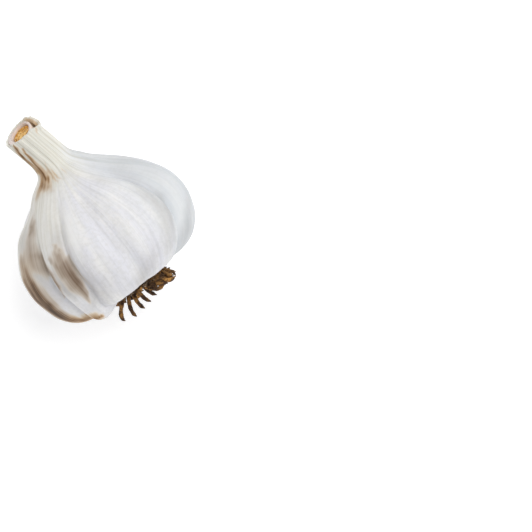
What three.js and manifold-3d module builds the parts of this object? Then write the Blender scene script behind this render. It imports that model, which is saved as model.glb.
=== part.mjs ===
// A whole garlic bulb with its dried neck cut short and its root tuft trimmed, lying on its side.
// Millimetres and degrees, +Z up. The bulb's own axis runs from its root plate to its neck; "height" is
// measured along it from the root plate, and "way round" is the angle about it, 0 on the upper side.
import * as THREE from "three";
import { mergeVertices } from "three/addons/utils/BufferGeometryUtils.js";
import Module from "manifold-3d";

const wasm = await Module();
wasm.setup();

// Driving dimensions.
const BELLY_RADIUS = 27.3;
const BELLY_HEIGHT = 14.2;
const CROWN_HEIGHT = 37;
const NECK_RADIUS = 5.4;
const CUT_HEIGHT = 57.9;
const LYING_TILT = 20; // the neck's rise above the table
const ROOT_PLATE_RADIUS = 8.4;
const GAP = 0.3; // between neighbouring pieces

// Where the root plate's centre is when the bulb lies on its rest spot, which is the origin.
const ROOT_PLATE_PLACE = { x: -18.0, z: 21.3 };

// The skin's outline from the hollow round the root plate to the cut neck, as [radius, height].
const SKIN_OUTLINE = [
  [9.0, 1.6],
  [12.5, 1.0],
  [17.2, 1.2],
  [20.7, 2.3],
  [23.4, 4.5],
  [25.6, 8.1],
  [BELLY_RADIUS, BELLY_HEIGHT],
  [27.1, 19.2],
  [25.4, 24.0],
  [22.3, 28.6],
  [18.3, 32.5],
  [13.9, 36.1],
  [9.8, 39.4],
  [6.4, 42.3],
  [5.5, 45.8],
  [NECK_RADIUS, 51.0],
  [NECK_RADIUS, CUT_HEIGHT],
];

// The skin's mesh: its steps along the outline, and its columns, which crowd towards the seams.
const OUTLINE_STEPS = 46;
const COLUMN_WIDTH = 4.4;
const FEWEST_COLUMNS = 6;
const COLUMN_CROWDING = 0.08;

// The hollow that holds the root plate, and the one in the cut neck.
const ROOT_HOLLOW = { radius: 8.9, floor: 3.4 };
const NECK_HOLLOW = { radius: 4.5, floor: CUT_HEIGHT - 5.5 };

// The neck's ragged mouth: how far its edge stands above or below the cut at some ways round. On the side
// where it is torn down, its outer leaf stands out in a lip.
const MOUTH_EDGE = [
  ...[[-110, -0.4], [-85, 0], [-60, 0.75], [-35, 1], [-10, 0.7], [12, 0.25], [28, 0.1], [45, -1.4]],
  ...[[62, -2.6], [76, -2.2], [90, -1.0], [105, -0.4], [120, 0], [140, -0.4], [180, -0.5], [210, -0.5]],
];
const MOUTH_REACH = 9; // how far down the neck the edge's unevenness is felt
const LIP = { way: 70, spread: 46, out: 0.9, inside: 0.3, reach: 2.6 };

// The cloves under the skin, in order round the bulb. Each starts at a seam: its way round at the belly, and
// how far it sways at the crown and the foot; the groove's depth, and its half width before and after the
// seam. Then how far the clove stands out from its seams, and how far its foot stays above the others.
const CLOVES = [
  { seam: -112, crown: -4, foot: 0, depth: 0.9, before: 3.0, after: 3.0, bulge: 1.6, lift: -0.3 },
  { seam: -57, crown: -8, foot: -3, depth: 0.8, before: 1.6, after: 2.4, bulge: 1.9, lift: -0.6 },
  { seam: -37, crown: 10, foot: -9, depth: 1.2, before: 3.8, after: 2.2, bulge: 1.4, lift: 1.0 },
  { seam: -1, crown: -4, foot: -2, depth: 0.5, before: 3.2, after: 3.2, bulge: 1.3, lift: 1.0 },
  { seam: 44, crown: -15, foot: -12, depth: 1.5, before: 1.5, after: 4.2, bulge: 2.0, lift: 1.5 },
  { seam: 82, crown: -4, foot: 0, depth: 0.9, before: 3.0, after: 3.0, bulge: 0.6, lift: 1.2 },
  { seam: 116, crown: 4, foot: 0, depth: 0.8, before: 3.0, after: 3.0, bulge: 1.1, lift: 0.4 },
  { seam: 155, crown: 5, foot: -3, depth: 0.9, before: 3.0, after: 2.2, bulge: 1.4, lift: 0 },
  { seam: 207, crown: -5, foot: 3, depth: 0.8, before: 2.4, after: 3.2, bulge: 1.4, lift: 0 },
];
const SEAM_SINK = 0.9; // how far the seams lie inside the outline
const FULLNESS = 0.8; // under 1 for cloves that are broad across the back
const CROWN_FADE = { start: 23, end: 41 }; // heights over which the cloves fade out into the shoulders
const FOOT_FADE = 19; // radius inside which they fade out towards the root plate
const SEAM_FOOT = { share: 0.4, start: 1, end: 9 }; // the share of its depth that a seam keeps at its foot
const LIFT_FADE = { radius: 14, height: 2 };

// The neck's ribs, and its bend towards one side.
const RIBS = { count: 14, height: 0.22, start: 34, end: 46 };
const BEND = { way: -48, angle: 19, start: 39, end: 49 };
const NECK_SHIFT = { way: 82, amount: 1.0, start: 33, end: 44 };

const deg = THREE.MathUtils.degToRad;
const smooth = THREE.MathUtils.smoothstep;
const wrapped = (angle) => ((angle % 360) + 360) % 360;

// A seam's way round at a height: it sways away from its place at the belly towards the crown and the foot.
function seamAt(clove, height) {
  const up = (height - BELLY_HEIGHT) / (CROWN_HEIGHT - BELLY_HEIGHT);
  const down = (BELLY_HEIGHT - height) / BELLY_HEIGHT;
  const sway = up > 0 ? clove.crown * Math.min(up, 1.1) ** 3 : clove.foot * down ** 2;
  return clove.seam + sway;
}

// The clove that follows another, and the width of a clove at a height.
const nextTo = (clove) => CLOVES[(CLOVES.indexOf(clove) + 1) % CLOVES.length];
const spanAt = (clove, height) => wrapped(seamAt(nextTo(clove), height) - seamAt(clove, height));

// The columns of the skin's mesh, which sway with the seams.
const COLUMNS = CLOVES.flatMap((clove) => {
  const count = Math.max(FEWEST_COLUMNS, Math.round(spanAt(clove, BELLY_HEIGHT) / COLUMN_WIDTH));
  return Array.from({ length: count }, (_, i) => {
    const even = i / count;
    return { clove, along: even - COLUMN_CROWDING * Math.sin(2 * Math.PI * even) };
  });
});
const columnWay = ({ clove, along }, height) => seamAt(clove, height) + along * spanAt(clove, height);

// How far the cloves push the skin out, and how far they lift its foot, at a place on the outline.
function cloveRelief(way, radius, height) {
  let out = -SEAM_SINK;
  let lift = 0;
  for (const clove of CLOVES) {
    const aside = wrapped(way - seamAt(clove, height) + 180) - 180;
    const along = wrapped(aside) / spanAt(clove, height);
    if (along < 1) {
      out += clove.bulge * Math.sin(Math.PI * along) ** FULLNESS;
      lift += clove.lift * Math.sin(Math.PI * along);
    }
    const width = aside < 0 ? clove.before : clove.after;
    const full = THREE.MathUtils.lerp(SEAM_FOOT.share, 1, smooth(height, SEAM_FOOT.start, SEAM_FOOT.end));
    out -= clove.depth * full * Math.exp(-(((deg(aside) * radius) / width) ** 2));
  }
  const edge = ROOT_HOLLOW.radius + 1;
  const foot = smooth(radius, edge, FOOT_FADE);
  const crown = 1 - smooth(height, CROWN_FADE.start, CROWN_FADE.end);
  const low = smooth(radius, edge, LIFT_FADE.radius) * (1 - smooth(height, LIFT_FADE.height, BELLY_HEIGHT));
  return { out: out * (height < BELLY_HEIGHT ? foot : crown), lift: lift * low };
}

// The neck's uneven ribs, which fade out on the shoulders.
function ribRelief(way, height) {
  const ribs = Math.cos(RIBS.count * deg(way)) * (0.7 + 0.3 * Math.cos(3 * deg(way) + 1));
  return RIBS.height * smooth(height, RIBS.start, RIBS.end) * (ribs + 0.4 * Math.cos(5 * deg(way) + 2));
}

// The height of the mouth's edge above the cut, eased from one named way to the next.
function mouthEdge(way) {
  const first = MOUTH_EDGE[0][0];
  const start = MOUTH_EDGE.findLastIndex(([from]) => wrapped(way - first) >= from - first);
  const [from, low] = MOUTH_EDGE[start];
  const [to, high] = MOUTH_EDGE[(start + 1) % MOUTH_EDGE.length];
  return THREE.MathUtils.lerp(low, high, smooth(wrapped(way - from), 0, wrapped(to - from)));
}

// How far the ragged mouth lifts the neck's skin, and how far its lip stands out, at a place on the neck.
function mouthShape(way, height) {
  const aside = Math.abs(wrapped(way - LIP.way + 180) - 180);
  const side = Math.cos(deg(90) * Math.min(aside / LIP.spread, 1)) ** 2;
  return {
    lift: mouthEdge(way) * smooth(height, CUT_HEIGHT - MOUTH_REACH, CUT_HEIGHT),
    lip: LIP.out * side * smooth(height, CUT_HEIGHT - LIP.reach, CUT_HEIGHT),
  };
}

// A point given by radius, way round and height, once the neck is bent along an arc.
function bent(radius, way, height) {
  const run = THREE.MathUtils.clamp(height, BEND.start, BEND.end) - BEND.start;
  const arc = (BEND.end - BEND.start) / deg(BEND.angle);
  const turn = run / arc;
  const past = Math.max(height - BEND.end, 0);
  const lean = arc * (1 - Math.cos(turn)) + past * Math.sin(turn);
  const rise = Math.min(height, BEND.start) + arc * Math.sin(turn) + past * Math.cos(turn);
  const across = radius * Math.cos(deg(way - BEND.way));
  const beside = radius * Math.sin(deg(way - BEND.way));
  const out = lean + across * Math.cos(turn);
  const c = Math.cos(deg(BEND.way));
  const s = Math.sin(deg(BEND.way));
  const shift = NECK_SHIFT.amount * smooth(height, NECK_SHIFT.start, NECK_SHIFT.end);
  return new THREE.Vector3(
    out * c - beside * s + shift * Math.cos(deg(NECK_SHIFT.way)),
    out * s + beside * c + shift * Math.sin(deg(NECK_SHIFT.way)),
    rise - across * Math.sin(turn),
  );
}

// A closed lathe of [radius, height] points about the bulb's axis. Each vertex is moved by
// place(radius, way, height, i), with its way round from wayOf(column, height).
function turned(points, columns, wayOf, place) {
  const lathe = new THREE.LatheGeometry(
    points.map(([r, h]) => new THREE.Vector2(r, h)),
    columns,
  );
  const position = lathe.attributes.position;
  for (let v = 0; v < position.count; v++) {
    const i = v % points.length;
    const [radius, height] = points[i];
    const way = wayOf(Math.floor(v / points.length) % columns, height);
    position.setXYZ(v, ...place(radius, way, height, i).toArray());
  }
  return lathe;
}

const evenWays = (columns) => (column) => (360 / columns) * column;

// A manifold-3d solid of a geometry, and a geometry of a solid.
function solidOf(geometry) {
  const bare = geometry.clone();
  bare.deleteAttribute("normal");
  bare.deleteAttribute("uv");
  const merged = mergeVertices(bare, 1e-4);
  const mesh = new wasm.Mesh({
    numProp: 3,
    vertProperties: merged.attributes.position.array,
    triVerts: new Uint32Array(merged.index.array),
  });
  return new wasm.Manifold(mesh);
}

function geometryOf(solid) {
  const mesh = solid.getMesh();
  const geometry = new THREE.BufferGeometry();
  geometry.setAttribute("position", new THREE.BufferAttribute(mesh.vertProperties, 3));
  geometry.setIndex(new THREE.BufferAttribute(mesh.triVerts, 1));
  geometry.computeVertexNormals();
  return geometry;
}

function meshOf(name, geometry, color, roughness) {
  const material = new THREE.MeshStandardMaterial({ color, roughness, metalness: 0 });
  const mesh = new THREE.Mesh(geometry, material);
  mesh.name = name;
  return mesh;
}

// The wrapped bulb: cloves, shoulders and neck under one skin, hollowed for the root plate and the sheath.
function bulbGeometry() {
  const spline = new THREE.SplineCurve(SKIN_OUTLINE.map(([r, h]) => new THREE.Vector2(r, h)));
  const skin = spline.getSpacedPoints(OUTLINE_STEPS);
  const normals = skin.map((_, i) => {
    const ahead = skin[Math.min(i + 1, OUTLINE_STEPS)];
    const run = ahead.clone().sub(skin[Math.max(i - 1, 0)]);
    return new THREE.Vector2(run.y, -run.x).normalize();
  });
  const points = [
    [0, ROOT_HOLLOW.floor],
    [ROOT_HOLLOW.radius * 0.6, ROOT_HOLLOW.floor],
    [ROOT_HOLLOW.radius, ROOT_HOLLOW.floor],
    ...skin.map((p) => p.toArray()),
    [NECK_HOLLOW.radius, CUT_HEIGHT],
    [NECK_HOLLOW.radius, NECK_HOLLOW.floor],
    [0, NECK_HOLLOW.floor],
  ];
  const firstSkin = 3;
  const wayOf = (column, height) => columnWay(COLUMNS[column], height);
  return turned(points, COLUMNS.length, wayOf, (radius, way, height, i) => {
    const normal = normals[i - firstSkin];
    const mouth = mouthShape(way, height);
    const isRim = i === firstSkin + skin.length;
    if (isRim) {
      return bent(radius + LIP.inside * mouth.lip, way, height + mouth.lift);
    }
    if (!normal) {
      return bent(radius, way, height);
    }
    const cloves = cloveRelief(way, radius, height);
    const out = cloves.out + ribRelief(way, height);
    const up = normal.y * out + cloves.lift + mouth.lift;
    return bent(radius + normal.x * out + mouth.lip, way, height + up);
  });
}

// The rolled inner sheath in the cut neck, cut a little lower. It lies against the side away from the lip,
// where its wall is thicker, so that the stem core it holds is on the neck's axis.
const SHEATH = { outer: 3.9, inner: 3.0, top: CUT_HEIGHT - 0.3, aside: 0.3, chamfer: 0.2 };

function besideAxis(aside) {
  return (radius, way, height) => {
    const x = radius * Math.cos(deg(way)) - aside * Math.cos(deg(LIP.way));
    const y = radius * Math.sin(deg(way)) - aside * Math.sin(deg(LIP.way));
    return bent(Math.hypot(x, y), THREE.MathUtils.radToDeg(Math.atan2(y, x)), height);
  };
}

function innerSheathGeometry() {
  const foot = NECK_HOLLOW.floor + GAP;
  const points = [
    [SHEATH.inner, foot],
    [SHEATH.outer, foot],
    [SHEATH.outer, SHEATH.top - 0.3],
    [SHEATH.outer - SHEATH.chamfer, SHEATH.top],
    [SHEATH.inner + SHEATH.chamfer, SHEATH.top - 0.1],
    [SHEATH.inner, SHEATH.top - 0.4],
    [SHEATH.inner, foot],
  ];
  const outside = besideAxis(SHEATH.aside);
  return turned(points, 36, evenWays(36), (radius, way, height, i) => {
    const isOutside = i >= 1 && i <= 3;
    return isOutside ? outside(radius, way, height) : bent(radius, way, height);
  });
}

// The dried stem core inside the sheath.
function stemCoreGeometry() {
  const radius = SHEATH.inner - GAP;
  const foot = NECK_HOLLOW.floor + GAP;
  const points = [
    [0, foot],
    [radius, foot],
    [radius, SHEATH.top - 0.4],
    [radius * 0.8, SHEATH.top - 0.1],
    [radius * 0.4, SHEATH.top - 0.3],
    [0, SHEATH.top - 0.2],
  ];
  return turned(points, 28, evenWays(28), bent);
}

// A repeatable draw between 0 and 1 for root number i and draw number k.
function draw(i, k) {
  const x = Math.sin(i * 12.9898 + k * 78.233) * 43758.5453;
  return x - Math.floor(x);
}

// The rings of roots on the plate, from the rim inwards: how far out they grow, how far they lean outwards,
// and the way round and length of each. They all dried hooking towards one side, where they crowd together
// and stand more upright.
const RIM_ROOTS = [
  ...[[12, 6.3], [23, 6.3], [34, 6.2], [45, 6.1], [56, 6.1], [67, 6], [78, 6], [90, 6.1], [103, 6.4]],
  ...[[120, 6.8], [139, 7.2], [159, 7.6], [180, 8], [201, 8.2], [221, 8], [240, 7.6], [258, 5.8]],
];
const sameLength = (length, ways) => ways.map((way) => [way, length]);
const ROOT_RINGS = [
  { radius: 7.2, lean: 22, roots: RIM_ROOTS },
  { radius: 4.7, lean: 12, roots: sameLength(5, [-70, -38, -10, 14, 36, 58, 80, 104, 134, 168, 204, 246]) },
  { radius: 2.2, lean: 4, roots: sameLength(4.7, [-60, 0, 50, 100, 160, 230]) },
];
const ROOT_HOOK = { way: 82, amount: 0.34, rise: 0.25, upright: 0.7 };
const ROOT_START = 1.6; // height at which the roots begin, inside the plate
const ROOT_SIDES = 6;
const ROOT_JOINTS = 6;
const ROOT_RADIUS = 0.72;

// The long roots at the near side of the plate, which start nearer its middle and curl one after another.
const CURLED_ROOTS = [
  { way: -80, radius: 3.7, lean: 54, length: 15.2, hook: 0.36 },
  { way: -60, radius: 3.8, lean: 44, length: 12.3, hook: 0.28 },
  { way: -38, radius: 4.9, lean: 36, length: 9.6, hook: 0.24 },
  { way: -19, radius: 6.2, lean: 44, length: 9.2, hook: 0.23 },
  { way: -3, radius: 5.1, lean: -10, length: 7.6, hook: 0.22 },
];

// The roots matted together at the side they hook towards. Their points are [out to the upper side, out to
// way 90, height].
const MATTED_ROOTS = [
  { thick: 0.8, points: [[5, 0.2, 0.8], [6.5, 0.2, -1.9], [7, 1.1, -3.5], [7, 2.5, -4.6], [6.5, 4.6, -4.8]] },
  { thick: 0.8, points: [[5.5, 4, 0.6], [6.4, 4.6, -1.2], [7, 5.4, -2.8], [7, 6.7, -4.2], [6, 8.9, -4.4]] },
  { thick: 0.75, points: [[6, 0.6, 0.4], [6.5, 0.8, -1.1], [7.5, 2.4, -2.1], [8, 4, -3.5], [8, 6, -4.3]] },
  { thick: 0.6, points: [[6, 1, 0.6], [6.8, 1.3, -0.6], [7.5, 3, -0.5], [7.8, 5, -0.7], [7.8, 6.3, -1.5]] },
  { thick: 0.6, points: [[6.8, 1.6, 0], [7.5, 2, -1.4], [8.3, 3.9, -1.1], [8.3, 5.6, -1.9]] },
  { thick: 0.6, points: [[4.5, 5.8, 0.8], [5.4, 6.5, -0.6], [6.5, 7.4, -2.4], [6, 8.5, -3.5]] },
  { thick: 0.45, points: [[3.5, 6.4, 1.2], [5, 7.6, -0.6], [5, 8.9, -2.3], [5.5, 9.2, -4.2]] },
  { thick: 0.7, points: [[6.2, -0.9, 1.2], [7.8, -1.8, -0.3], [8, -2.9, -1.3], [7.4, -4.3, -2.3]] },
];

const vectorOf = (point) => new THREE.Vector3(...point);

// A tapered rod bent along a smooth curve through some points.
function rodAlong(points, thick) {
  const curve = new THREE.CatmullRomCurve3(points);
  const frames = curve.computeFrenetFrames(ROOT_JOINTS, false);
  const rod = new THREE.CylinderGeometry(thick * 0.55, thick, 1, ROOT_SIDES, ROOT_JOINTS);
  const position = rod.attributes.position;
  for (let v = 0; v < position.count; v++) {
    const joint = Math.round((position.getY(v) + 0.5) * ROOT_JOINTS);
    const p = curve.getPointAt(joint / ROOT_JOINTS);
    p.addScaledVector(frames.normals[joint], position.getX(v));
    p.addScaledVector(frames.binormals[joint], -position.getZ(v));
    position.setXYZ(v, p.x, p.y, p.z);
  }
  return rod;
}

// Points along a root that grows from the plate at a way round and hooks over to one side.
function hookedPoints({ way, radius, lean, length, hook, stray = 0 }) {
  const outward = new THREE.Vector3(Math.cos(deg(way)), Math.sin(deg(way)), 0);
  const sideways = new THREE.Vector3(-Math.sin(deg(way)), Math.cos(deg(way)), 0);
  const hookWay = deg(ROOT_HOOK.way);
  const hooked = new THREE.Vector3(Math.cos(hookWay), Math.sin(hookWay), ROOT_HOOK.rise);
  const heading = outward.clone().multiplyScalar(Math.sin(deg(lean))).setZ(-Math.cos(deg(lean)));
  return [0, 0.35, 0.7, 1].map((run) =>
    outward
      .clone()
      .multiplyScalar(radius)
      .setZ(ROOT_START)
      .addScaledVector(heading, run * length)
      .addScaledVector(sideways, stray * run ** 2 * length)
      .addScaledVector(hooked, hook * run ** 3 * length),
  );
}

// A root of a ring, with its own small differences.
function ringRoot(ring, [ringWay, ringLength], serial) {
  const way = ringWay + 4 * (draw(serial, 1) - 0.5);
  const facing = Math.cos(deg(way - ROOT_HOOK.way));
  const lean = ring.lean * (1 - ROOT_HOOK.upright * facing) + 8 * (draw(serial, 2) - 0.5);
  const length = ringLength * (0.95 + 0.1 * draw(serial, 3));
  const stray = 0.3 * (draw(serial, 4) - 0.5);
  const hook = ROOT_HOOK.amount * (0.75 + 0.5 * draw(serial, 5));
  const thick = ROOT_RADIUS * (0.8 + 0.4 * draw(serial, 6));
  return rodAlong(hookedPoints({ way, radius: ring.radius, lean, length, hook, stray }), thick);
}

// The root plate with the trimmed roots that grow from it.
function rootTuftGeometry() {
  const top = ROOT_HOLLOW.floor - GAP;
  const plate = turned(
    [
      [0, -1.4],
      [ROOT_PLATE_RADIUS * 0.7, -1.1],
      [ROOT_PLATE_RADIUS * 0.95, 0.1],
      [ROOT_PLATE_RADIUS, 1.2],
      [ROOT_PLATE_RADIUS, top],
      [0, top],
    ],
    36,
    evenWays(36),
    bent,
  );
  const ringRoots = ROOT_RINGS.flatMap((ring) => ring.roots.map((root) => [ring, root]));
  const rods = [
    ...ringRoots.map(([ring, root], serial) => ringRoot(ring, root, serial)),
    ...CURLED_ROOTS.map((root) => rodAlong(hookedPoints(root), ROOT_RADIUS)),
    ...MATTED_ROOTS.map(({ thick, points }) => rodAlong(points.map(vectorOf), thick)),
  ];
  const tuft = rods.reduce((whole, rod) => whole.add(solidOf(rod)), solidOf(plate));
  return geometryOf(tuft);
}

// The table's side of the rest plane, in the bulb's own frame, to cut the rest spot flat.
function tableSolid(lying) {
  const table = new THREE.BoxGeometry(200, 200, 60);
  table.translate(0, 0, -30);
  table.applyMatrix4(lying.matrix.clone().invert());
  return solidOf(table);
}

// The bulb's frame: its axis rises to +X, its upper side is way 0, and it is set down at the rest spot.
function lyingGroup() {
  const group = new THREE.Group();
  const axis = new THREE.Vector3(Math.cos(deg(LYING_TILT)), 0, Math.sin(deg(LYING_TILT)));
  const upper = new THREE.Vector3(-Math.sin(deg(LYING_TILT)), 0, Math.cos(deg(LYING_TILT)));
  const frame = new THREE.Matrix4().makeBasis(upper, new THREE.Vector3(0, -1, 0), axis);
  group.setRotationFromMatrix(frame);
  group.position.set(ROOT_PLATE_PLACE.x, 0, ROOT_PLATE_PLACE.z);
  group.updateMatrix();
  return group;
}

const lying = lyingGroup();
const bulb = solidOf(bulbGeometry()).subtract(tableSolid(lying));
lying.add(meshOf("bulb", geometryOf(bulb), 0xe8e6e2, 0.6));
lying.add(meshOf("inner_sheath", innerSheathGeometry(), 0xe6dac8, 0.75));
lying.add(meshOf("stem_core", stemCoreGeometry(), 0xc08a3e, 0.9));
lying.add(meshOf("root_tuft", rootTuftGeometry(), 0x5a4126, 0.95));

const garlic = new THREE.Group();
garlic.add(lying);

export default garlic;
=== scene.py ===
"""A whole garlic bulb lying on its side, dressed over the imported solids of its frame."""

import math

import bmesh
import bpy
from mathutils import Matrix, Vector, noise


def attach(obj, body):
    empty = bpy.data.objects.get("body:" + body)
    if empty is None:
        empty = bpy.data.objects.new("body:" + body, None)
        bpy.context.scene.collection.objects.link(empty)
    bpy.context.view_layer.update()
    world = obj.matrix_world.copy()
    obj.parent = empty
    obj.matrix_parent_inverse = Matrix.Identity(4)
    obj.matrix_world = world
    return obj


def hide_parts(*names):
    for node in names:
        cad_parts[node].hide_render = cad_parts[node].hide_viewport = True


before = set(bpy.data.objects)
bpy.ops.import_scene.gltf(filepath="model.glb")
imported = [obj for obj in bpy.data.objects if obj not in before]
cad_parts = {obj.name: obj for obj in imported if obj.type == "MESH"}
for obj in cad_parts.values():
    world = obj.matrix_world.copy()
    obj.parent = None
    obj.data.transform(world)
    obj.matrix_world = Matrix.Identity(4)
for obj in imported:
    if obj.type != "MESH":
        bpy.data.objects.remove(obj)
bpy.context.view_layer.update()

# Lengths below are in millimetres and angles in degrees. The bulb's own axis runs from its root plate to its
# neck: "height" is measured along it from the root plate. "way" is the angle about it, 0 on the upper side.
MM = 0.001
BELLY_RADIUS = 27.3
BELLY_HEIGHT = 14.2
CROWN_HEIGHT = 37.0
NECK_RADIUS = 5.4
CUT_HEIGHT = 57.9
LYING_TILT = 20.0
ROOT_PLATE_RADIUS = 8.4
ROOT_PLATE_PLACE = (-18.0, 0.0, 21.3)
GAP = 0.3  # between neighbouring pieces

SKIN_OUTLINE = [
    (9.0, 1.6),
    (12.5, 1.0),
    (17.2, 1.2),
    (20.7, 2.3),
    (23.4, 4.5),
    (25.6, 8.1),
    (BELLY_RADIUS, BELLY_HEIGHT),
    (27.1, 19.2),
    (25.4, 24.0),
    (22.3, 28.6),
    (18.3, 32.5),
    (13.9, 36.1),
    (9.8, 39.4),
    (6.4, 42.3),
    (5.5, 45.8),
    (NECK_RADIUS, 51.0),
    (NECK_RADIUS, CUT_HEIGHT),
]
OUTLINE_STEP = 0.42
CURVE_STEPS = 40  # between one point of the outline and the next, before it is divided evenly
COLUMN_WIDTH = 1.25  # degrees
FEWEST_COLUMNS = 12  # for a clove
COLUMN_CROWDING = 0.08

ROOT_HOLLOW = {"radius": 8.9, "floor": 3.4}
NECK_HOLLOW = {"radius": 4.5, "floor": CUT_HEIGHT - 5.5}

# The neck's ragged mouth: how far its edge stands above or below the cut at some ways. On the side where it
# is torn down, its outer leaf stands out in a lip.
MOUTH_EDGE = (
    ((-110, -0.4), (-85, -0.1), (-60, 0), (-35, 0.15), (-10, -0.1), (12, -0.4), (28, -0.5), (45, -1.6))
    + ((62, -2.6), (76, -2.2), (90, -1.0), (105, -0.4), (120, 0), (140, -0.4), (180, -0.5), (210, -0.5))
)
MOUTH_REACH = 9
LIP = {"way": 70, "spread": 46, "out": 0.9, "reach": 2.6}

# The cloves under the skin, in order round the bulb. Each starts at a seam: its way at the belly, and how far
# it sways at the crown and the foot; the groove's depth, and its half width before and after the seam. Then
# how far the clove stands out from its seams, and how far its foot stays above the others.
CLOVE_KEYS = ("seam", "crown", "foot", "depth", "before", "after", "bulge", "lift")
CLOVES = [
    dict(zip(CLOVE_KEYS, values))
    for values in (
        (-112, -4, 0, 0.9, 3.0, 3.0, 1.6, -0.3),
        (-57, -8, -3, 0.8, 1.6, 2.4, 1.9, -0.6),
        (-37, 10, -9, 1.2, 3.8, 2.2, 1.4, 1.0),
        (-1, -4, -2, 0.5, 3.2, 3.2, 1.3, 1.0),
        (44, -15, -12, 1.5, 1.5, 4.2, 2.0, 1.5),
        (82, -4, 0, 0.9, 3.0, 3.0, 0.6, 1.2),
        (116, 4, 0, 0.8, 3.0, 3.0, 1.1, 0.4),
        (155, 5, -3, 0.9, 3.0, 2.2, 1.4, 0.0),
        (207, -5, 3, 0.8, 2.4, 3.2, 1.4, 0.0),
    )
]
SEAM_SINK = 0.9  # how far the seams lie inside the outline
FULLNESS = 0.8  # under 1 for cloves that are broad across the back
CROWN_FADE = (23, 41)  # heights over which the cloves fade out into the shoulders
FOOT_FADE = 19  # radius inside which they fade out towards the root plate
SEAM_FOOT = {"share": 0.4, "start": 1, "end": 9}  # the share of its depth that a seam keeps at its foot
LIFT_FADE = {"radius": 14, "height": 2}
RIBS = {"count": 14, "height": 0.22, "start": 34, "end": 46}
BEND = {"way": -48, "angle": 19, "start": 39, "end": 49}
NECK_SHIFT = {"way": 82, "amount": 1.0, "start": 33, "end": 44}


def smooth(value, low, high):
    """0 below low, 1 above high and smooth between them."""
    t = min(max((value - low) / (high - low), 0.0), 1.0)
    return t * t * (3 - 2 * t)


def around(way):
    """The cosine and sine of a way."""
    return math.cos(math.radians(way)), math.sin(math.radians(way))


# ---- the bulb's form ----


def seam_at(clove, height):
    """A seam's way: it sways from its place at the belly towards the crown and the foot."""
    up = (height - BELLY_HEIGHT) / (CROWN_HEIGHT - BELLY_HEIGHT)
    down = (BELLY_HEIGHT - height) / BELLY_HEIGHT
    return clove["seam"] + (clove["crown"] * min(up, 1.1) ** 3 if up > 0 else clove["foot"] * down**2)


def span_at(index, height):
    return (seam_at(CLOVES[(index + 1) % len(CLOVES)], height) - seam_at(CLOVES[index], height)) % 360


def clove_relief(way, radius, height):
    """How far the cloves push the skin out and lift its foot, and how near a seam is, 0 to 1."""
    out, lift, near = -SEAM_SINK, 0.0, 0.0
    share = SEAM_FOOT["share"]
    full = share + (1 - share) * smooth(height, SEAM_FOOT["start"], SEAM_FOOT["end"])
    for index, clove in enumerate(CLOVES):
        aside = (way - seam_at(clove, height) + 180) % 360 - 180
        along = (aside % 360) / span_at(index, height)
        if along < 1:
            swell = math.sin(math.pi * along)
            out += clove["bulge"] * swell**FULLNESS
            lift += clove["lift"] * swell
        width = clove["before"] if aside < 0 else clove["after"]
        groove = math.exp(-((math.radians(aside) * radius / width) ** 2))
        out -= clove["depth"] * full * groove
        near = max(near, groove * full)
    edge = ROOT_HOLLOW["radius"] + 1
    out *= smooth(radius, edge, FOOT_FADE) if height < BELLY_HEIGHT else 1 - smooth(height, *CROWN_FADE)
    lift *= smooth(radius, edge, LIFT_FADE["radius"])
    lift *= 1 - smooth(height, LIFT_FADE["height"], BELLY_HEIGHT)
    return out, lift, near * (1 - smooth(height, *CROWN_FADE))


def rib_relief(way, height):
    w = math.radians(way)
    ribs = math.cos(RIBS["count"] * w) * (0.7 + 0.3 * math.cos(3 * w + 1))
    return RIBS["height"] * smooth(height, RIBS["start"], RIBS["end"]) * (ribs + 0.4 * math.cos(5 * w + 2))


def mouth_edge(way):
    """The height of the mouth's edge above the cut, eased from one named way to the next."""
    first = MOUTH_EDGE[0][0]
    start = max(i for i, (place, _) in enumerate(MOUTH_EDGE) if (way - first) % 360 >= place - first)
    place, low = MOUTH_EDGE[start]
    following, high = MOUTH_EDGE[(start + 1) % len(MOUTH_EDGE)]
    return low + (high - low) * smooth((way - place) % 360, 0, (following - place) % 360)


def mouth_shape(way, height):
    """How far the ragged mouth lifts the neck's skin, and how far its lip stands out."""
    aside = abs((way - LIP["way"] + 180) % 360 - 180)
    side = math.cos(math.radians(90) * min(aside / LIP["spread"], 1)) ** 2
    lift = mouth_edge(way) * smooth(height, CUT_HEIGHT - MOUTH_REACH, CUT_HEIGHT)
    return lift, LIP["out"] * side * smooth(height, CUT_HEIGHT - LIP["reach"], CUT_HEIGHT)


def bent(radius, way, height):
    """A point in the bulb's own frame, once the neck is bent along an arc."""
    run = min(max(height, BEND["start"]), BEND["end"]) - BEND["start"]
    arc = (BEND["end"] - BEND["start"]) / math.radians(BEND["angle"])
    turn = run / arc
    past = max(height - BEND["end"], 0)
    lean = arc * (1 - math.cos(turn)) + past * math.sin(turn)
    rise = min(height, BEND["start"]) + arc * math.sin(turn) + past * math.cos(turn)
    across, beside = (radius * part for part in around(way - BEND["way"]))
    out = lean + across * math.cos(turn)
    c, s = around(BEND["way"])
    shift = NECK_SHIFT["amount"] * smooth(height, NECK_SHIFT["start"], NECK_SHIFT["end"])
    sc, ss = around(NECK_SHIFT["way"])
    x = out * c - beside * s + shift * sc
    y = out * s + beside * c + shift * ss
    return Vector((x, y, rise - across * math.sin(turn)))


def lying_frame():
    """The bulb's frame as it lies: its axis rises to +X, and its upper side is way 0."""
    c, s = around(LYING_TILT)
    turn = Matrix(((-s, 0, c), (0, -1, 0), (c, 0, s))).to_4x4()
    return Matrix.Translation(ROOT_PLATE_PLACE) @ turn


LYING = lying_frame()


def laid(point):
    """A point of the bulb's own frame, in the model's frame and in metres, no lower than the rest spot."""
    place = LYING @ point
    place.z = max(place.z, 0.0)
    return place * MM


# ---- making and finishing meshes ----


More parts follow.
